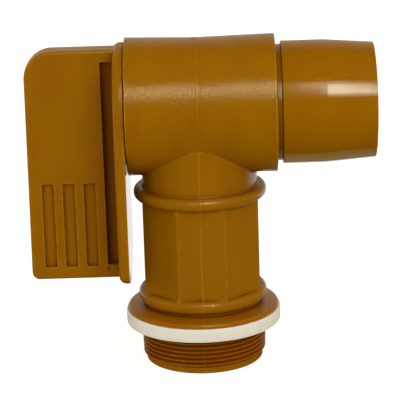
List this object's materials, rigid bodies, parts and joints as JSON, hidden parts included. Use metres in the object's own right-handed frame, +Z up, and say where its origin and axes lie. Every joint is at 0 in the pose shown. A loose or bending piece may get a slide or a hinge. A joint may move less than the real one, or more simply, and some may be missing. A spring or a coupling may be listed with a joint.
{
  "type": "drum faucet",
  "caption": "Moulded plastic drum faucet: threaded neck with flange, gasket and wrench octagon, cross barrel with a turning plug, flat lever handle and open spout.",
  "frame": {"origin": "centre of the bung gasket's underside, on the neck's axis, where the faucet seats on the drum", "axes": "+Z up the neck, away from the drum; +X along the cross barrel toward the spout; -Y toward the viewer of the picture"},
  "size_m": [0.1657, 0.075, 0.1582],
  "materials": {
    "moulded_body": "moulded polyethylene, faint orange peel",
    "moulded_plug": "moulded polyethylene, turned smooth on its outside",
    "moulded_handle": "moulded polyethylene, faint orange peel",
    "moulded_spout": "moulded polyethylene, semi-gloss",
    "moulded_washer": "moulded polyethylene, darker and greyer",
    "pale_rubber": "cream elastomer, satin",
    "seal_rubber": "black elastomer"
  },
  "bodies": {
    "body": {"valve_body": "moulded_body", "bung_gasket": "pale_rubber", "port_seal": "seal_rubber"},
    "rotor": {"plug": "moulded_plug", "handle": "moulded_handle", "spout": "moulded_spout", "thrust_washer": "moulded_washer", "handle_end_o_ring": "seal_rubber", "outlet_end_o_ring": "seal_rubber", "spout_o_ring": "seal_rubber"}
  },
  "joints": [
    {"name": "plug_turn", "type": "hinge", "parent": "body", "child": "rotor", "pos_m": [0, 0, 0.1065], "axis": [1, 0, 0], "range_deg": [0, 90]}
  ]
}
